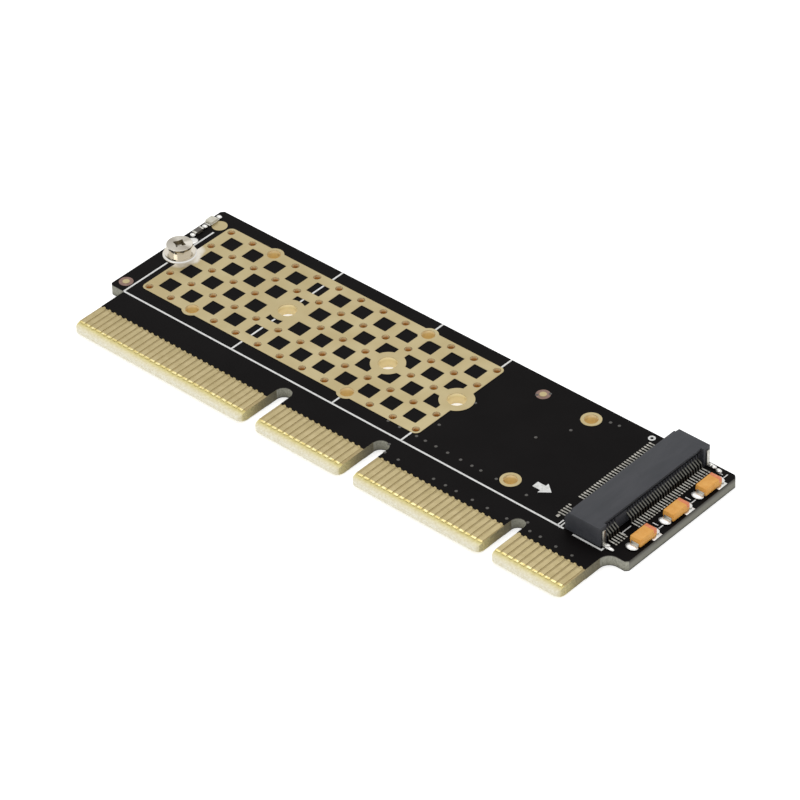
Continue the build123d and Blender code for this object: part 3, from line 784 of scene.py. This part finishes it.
# Tinned strip: tin plate over brass, silvery with a soft shine.
tinned_strip, tree, shader = new_material("tinned_strip", "#b9b7af", 0.3, metallic=1.0)
mottle(tree, shader, 0.6 * mm, (0.3, "#adaba2"), (0.7, "#c6c4bd"))
roughen(tree, shader, 0.06 * mm, 0.004 * mm, 0.5)
for node, name in (("socket_hold_down_near", "near_strap"), ("socket_hold_down_far", "far_strap")):
    dress(node, name, "tinned_metal", 0.03 * mm, tinned_strip)

# Socket and standoff solder. Tin alloy paste, melted in an oven: a small heap at each contact
# foot with two stray ones beside them, larger ones at the hold-downs, where some has run
# out over the board, and a collar round the standoff's flange.
tail_pitch = 0.5 * mm
tail_width = 0.2 * mm
middle_contact = 38
key_contacts = (58.4, 65.6)
stray_heaps = (0.35 * mm, 0.6 * mm)
collar_reach = 0.12 * mm
collar_rise = 0.16 * mm
lower_low, lower_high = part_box("socket_lower_contacts")
upper_low, upper_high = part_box("socket_upper_contacts")
near_low, near_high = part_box("socket_hold_down_near")
far_low, far_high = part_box("socket_hold_down_far")

# Bright solder: froze smooth and nearly white, a little wavy.
bright_solder, tree, shader = new_material("bright_solder", "#e2e1dd", 0.3, metallic=0.85)
roughen(tree, shader, 0.35 * mm, 0.02 * mm, 0.6)

# Dull solder: thin heaps on the feet, where flux and grain leave the metal grey and patchy.
dull_solder, tree, shader = new_material("dull_solder", "#a3a097", 0.4, metallic=1.0)
mottle(tree, shader, 1.5 * mm, (0.35, "#8b8880"), (0.65, "#b3b0a8"), detail=3.0)


def solder_heap(length, width, height):
    """A heap to soften, at the origin: a block on the board with its top drawn in."""
    heap = block((width, length, height), (0, 0, height / 2))
    for vertex in heap.data.vertices:
        if vertex.co.z > height / 2:
            vertex.co.x *= 0.7
            vertex.co.y *= 0.6
    return heap


def soften(piece, levels=2):
    """Round a rough model all over, as a melt draws itself in."""
    rounding = piece.modifiers.new("rounding", "SUBSURF")
    rounding.levels = levels
    rounding.render_levels = levels
    bpy.ops.object.modifier_apply(modifier=rounding.name)
    bpy.ops.object.shade_smooth()
    return piece


def join_pieces(piece, other):
    """Make the piece that was just set out take the other one in."""
    other.select_set(True)
    bpy.ops.object.join()
    return piece


def tail_places(x, low, high):
    """Places along a row of contact feet, without those at the key."""
    count = round((high[1] - low[1]) / tail_pitch) + 1
    ys = [high[1] - tail_width / 2 - index * tail_pitch for index in range(count)]
    key_high, key_low = (axis_y - (number - middle_contact) * tail_pitch / 2 for number in key_contacts)
    return [(x, y, face) for y in ys if not key_low < y < key_high]


places = tail_places(upper_high[0] - 0.05 * mm, upper_low, upper_high)
places += tail_places(lower_low[0] + 0.05 * mm, lower_low, lower_high)
places += [(lower_low[0] + 0.3 * mm, lower_low[1] - step, face) for step in stray_heaps]
tail_heaps = set_out(soften(solder_heap(0.44 * mm, 0.75 * mm, 0.17 * mm)), places)
finish_piece(tail_heaps, "tail_fillets", "solder", dull_solder)

near_y = (near_low[1] + near_high[1]) / 2
far_y = (far_low[1] + far_high[1]) / 2
run_out = soften(solder_heap(0.85 * mm, 2.3 * mm, 0.4 * mm))
near_run_out = set_out(run_out, [(near_high[0] + 0.25 * mm, near_y - 0.1 * mm, face)])

# One heap on the near strap's foot, joined to that run-out, and three beside the far strap.
strap_places = [
    (near_high[0] - 0.2 * mm, near_y + 0.1 * mm, face),
    (far_high[0] - 0.2 * mm, far_y, face),
    (far_high[0] + 0.3 * mm, far_y - 0.05 * mm, face),
    (far_high[0] + 1.3 * mm, far_y - 0.25 * mm, face),
]
strap_heaps = set_out(soften(solder_heap(0.9 * mm, 1.3 * mm, 0.5 * mm)), strap_places)
finish_piece(join_pieces(strap_heaps, near_run_out), "strap_solder", "solder", bright_solder)

bpy.ops.object.select_all(action="DESELECT")
bpy.ops.mesh.primitive_cone_add(
    vertices=64,
    radius1=flange_radius + collar_reach,
    radius2=flange_radius,
    depth=collar_rise,
    location=(standoff_x, axis_y, lattice_top + collar_rise / 2),
)
collar = bpy.context.object
select_face(collar, collar_rise / 2, 1)
bpy.ops.mesh.inset(thickness=0.05 * mm)
bpy.ops.object.mode_set(mode="OBJECT")
bpy.ops.object.shade_smooth_by_angle(angle=math.radians(60))
finish_piece(collar, "flange_solder", "solder", bright_solder)

# Capacitors. Tantalum pellets moulded in epoxy, drafted both ways from the mould line round
# their middle, on bent tinned terminals that are soldered to pads, with a band at the plus end.
capacitor_count = 3
capacitor_pitch = 6.5 * mm
band_width = 0.62 * mm
band_depth = 0.4 * mm

# Orange epoxy: moulding powder, matt with slightly uneven colour.
epoxy, tree, shader = new_material("orange_epoxy", "#e2a24c", 0.5, specular=0.35)
mottle(tree, shader, 0.7 * mm, (0.3, "#de9c44"), (0.7, "#e8ac57"), detail=3.0)
roughen(tree, shader, 0.1 * mm, 0.01 * mm, 0.6)

# Band ink: a stamped reddish ink that lets the orange through.
band_ink, tree, shader = new_material("band_ink", "#e08458", 0.5, specular=0.35)
mottle(tree, shader, 0.4 * mm, (0.3, "#db7b50"), (0.7, "#e59165"))
for number in range(1, capacitor_count + 1):
    node = f"capacitor_body_{number}"
    name = f"tantalum_moulding_{number}"
    body_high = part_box(node)[1]
    band_edge = body_high[1] - band_width
    moulding = dress(node, name, "capacitor_resin", 0.07 * mm, epoxy, band_ink)
    bpy.ops.object.mode_set(mode="EDIT")
    bpy.ops.mesh.select_all(action="SELECT")
    bpy.ops.mesh.bisect(plane_co=(0, band_edge, 0), plane_no=(0, 1, 0))
    bpy.ops.object.mode_set(mode="OBJECT")
    for polygon in moulding.data.polygons:
        if polygon.center.y > band_edge and polygon.center.z > body_high[2] - band_depth:
            polygon.material_index = 1
dress("capacitor_terminals", "bent_terminals", "tinned_metal", 0.03 * mm, tinned_strip)

solder_low, solder_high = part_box("capacitor_solder")
row_x = (solder_low[0] + solder_high[0]) / 2
row_y = (solder_low[1] + solder_high[1]) / 2


def at_capacitors(shift_x, shift_y):
    """A place at each capacitor, so far from its middle."""
    steps = [number - (capacitor_count - 1) / 2 for number in range(capacitor_count)]
    return [(row_x + shift_x, row_y + step * capacitor_pitch + shift_y, face) for step in steps]


near_heap = soften(solder_heap(1.9 * mm, 2.5 * mm, 0.4 * mm), 3)
near_heaps = set_out(near_heap, at_capacitors(-0.1 * mm, -2.15 * mm))
far_heap = soften(solder_heap(1.5 * mm, 2.2 * mm, 0.6 * mm), 3)
far_heaps = set_out(far_heap, at_capacitors(0.1 * mm, 2.0 * mm))
fillets = join_pieces(far_heaps, near_heaps)
finish_piece(fillets, "capacitor_fillets", "solder", bright_solder)
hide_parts("capacitor_solder")
pad = solder_heap(1.7 * mm, 2.15 * mm, 0.07 * mm)
round_edges(pad, 0.02 * mm)
pads = set_out(pad, at_capacitors(0.15 * mm, 1.45 * mm))
finish_piece(pads, "capacitor_pads", "solder", bright_solder)

# Chip lamp and resistor. The lamp is a resin lens moulded on a white substrate, the resistor
# a fired ceramic chip with its film up; both end in tinned caps, which sit in solder.
chip_solder_places = [
    (-44.1 * mm, 14.2 * mm, face),
    (-44.1 * mm, 11.35 * mm, face),
    (-44.0 * mm, 8.85 * mm, face),
]
bridge_place = (-43.2 * mm, 8.0 * mm, face)

# Lamp substrate: white glass laminate, matt.
substrate, tree, shader = new_material("lamp_substrate", "#e4e2d8", 0.5)
roughen(tree, shader, 0.1 * mm, 0.01 * mm, 0.5)

# Lens resin: clear epoxy, glossy and milky, with the warm grey of the part below.
lens_resin, tree, shader = new_material("lens_resin", "#e6e2ce", 0.15)
shader.inputs["Transmission Weight"].default_value = 0.25
mottle(tree, shader, 0.5 * mm, (0.3, "#dcd7c2"), (0.7, "#ece9da"))

# Resistor ceramic: dark glaze over the film, satin.
ceramic, tree, shader = new_material("resistor_ceramic", "#4a453d", 0.4)
mottle(tree, shader, 0.2 * mm, (0.3, "#403c35"), (0.7, "#565047"))
for node, name, slot, material in (
    ("lamp_body", "lamp_base", "lamp_resin", substrate),
    ("lamp_lens", "lamp_dome", "lamp_lens", lens_resin),
    ("lamp_ends", "lamp_caps", "tinned_metal", tinned_strip),
    ("resistor_body", "resistor_chip", "resistor_body", ceramic),
    ("resistor_ends", "resistor_caps", "tinned_metal", tinned_strip),
):
    dress(node, name, slot, 0.04 * mm, material)
chip_heap = soften(solder_heap(1.05 * mm, 1.15 * mm, 0.45 * mm))
chip_heaps = set_out(chip_heap, chip_solder_places)
finish_piece(chip_heaps, "chip_solder", "solder", bright_solder)

# Some tin has run as a thin film from the standoff's land to the resistor.
bridge = soften(solder_heap(2.3 * mm, 2.0 * mm, 0.14 * mm))
tinned_bridge = set_out(bridge, [bridge_place])
finish_piece(tinned_bridge, "tinned_bridge", "solder", bright_solder)

# Printed lines. The drive outlines, the arrow and the polarity marks, screened on the mask in
# one pass and baked; two short strokes by the socket go with them.
ink_film = 0.02 * mm
stroke_width = 0.2 * mm
stroke_length = 1.3 * mm
stroke_places = [(33.75 * mm, -5.6 * mm, face + ink_film / 2), (34.2 * mm, -5.75 * mm, face + ink_film / 2)]

# White ink: epoxy ink, so thin that the black shows through here and there as grey.
ink, tree, shader = new_material("white_ink", "#dededc", 0.6, specular=0.3)
mottle(tree, shader, 0.25 * mm, (0.3, "#cdcdca"), (0.6, "#e6e6e4"), detail=3.0)
roughen(tree, shader, 0.1 * mm, 0.008 * mm, 0.5)
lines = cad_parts["printed_lines"]
lines.data.materials.clear()
lines.data.materials.append(ink)
strokes = set_out(block((stroke_width, stroke_length, ink_film)), stroke_places)
finish_piece(strokes, "printed_strokes", "white_ink", ink)

# Studio. A white sweep under the card, one large soft lamp above and behind it and another,
# low, from the camera's left; the room round it is white.
floor_size = 6
floor_gap = 0.02 * mm
floor_glow = 0.5
room_light = 0.78


def shown_white(tree, rays):
    """1 for the camera's own rays and for mirror rays, which are to meet plain white."""
    links = {0: rays.outputs["Is Camera Ray"], 1: rays.outputs["Is Glossy Ray"]}
    return add_node(tree, "ShaderNodeMath", links, operation="MAXIMUM").outputs[0]


# Sweep white: matt white paper, which glows for the camera only, so that its shadow stays.
sweep_white, tree, shader = new_material("sweep_white", "#f4f4f4", 0.9, specular=0.0)
rays = add_node(tree, "ShaderNodeLightPath", {})
glow = add_node(tree, "ShaderNodeMath", {0: shown_white(tree, rays), 1: floor_glow}, operation="MULTIPLY")
shader.inputs["Emission Color"].default_value = (1, 1, 1, 1)
tree.links.new(glow.outputs[0], shader.inputs["Emission Strength"])
bpy.ops.object.select_all(action="DESELECT")
bpy.ops.mesh.primitive_plane_add(size=floor_size, location=(0, 0, board_low[2] - floor_gap))
floor = bpy.context.object
floor.name = "floor"
floor.data.materials.append(sweep_white)

world = bpy.data.worlds.new("studio")
bpy.context.scene.world = world
world.use_nodes = True
tree = world.node_tree
background = tree.nodes["Background"]
background.inputs["Color"].default_value = (1, 1, 1, 1)
rays = add_node(tree, "ShaderNodeLightPath", {})
links = {0: shown_white(tree, rays), 1: rays.outputs["Is Transmission Ray"]}
seen = add_node(tree, "ShaderNodeMath", links, operation="MAXIMUM")
links = {"Value": seen.outputs[0], "To Min": room_light, "To Max": 1.0}
level = add_node(tree, "ShaderNodeMapRange", links)
tree.links.new(level.outputs["Result"], background.inputs["Strength"])

for name, place, size, power in (
    ("key", (-0.25, 0.25, 0.8), 0.5, 1.0),
    ("fill", (-0.1, -0.8, 0.35), 0.5, 1.2),
):
    bpy.ops.object.light_add(type="AREA", location=place)
    lamp = bpy.context.object
    lamp.name = name
    lamp.data.size = size
    lamp.data.energy = power
    lamp.rotation_euler = Vector(place).to_track_quat("Z", "Y").to_euler()

# Camera. A long lens over the socket end, on the tongue's side and a little tilted, aimed at
# the card's middle.
azimuth = math.radians(42.9)
elevation = math.radians(38.22)
roll = math.radians(-1.86)
distance = 0.5455
aim = Vector((0.0005, 0.0015, 0))
level_reach = math.cos(elevation)
forward = Vector((-math.sin(azimuth) * level_reach, math.cos(azimuth) * level_reach, -math.sin(elevation)))
bpy.ops.object.camera_add(location=aim - forward * distance)
camera = bpy.context.object
camera.rotation_mode = "QUATERNION"
camera.rotation_quaternion = forward.to_track_quat("-Z", "Y") @ Quaternion((0, 0, 1), roll)
camera.data.sensor_width = 36
camera.data.lens = 188.3
bpy.context.scene.camera = camera
bpy.context.scene.view_settings.view_transform = "Standard"
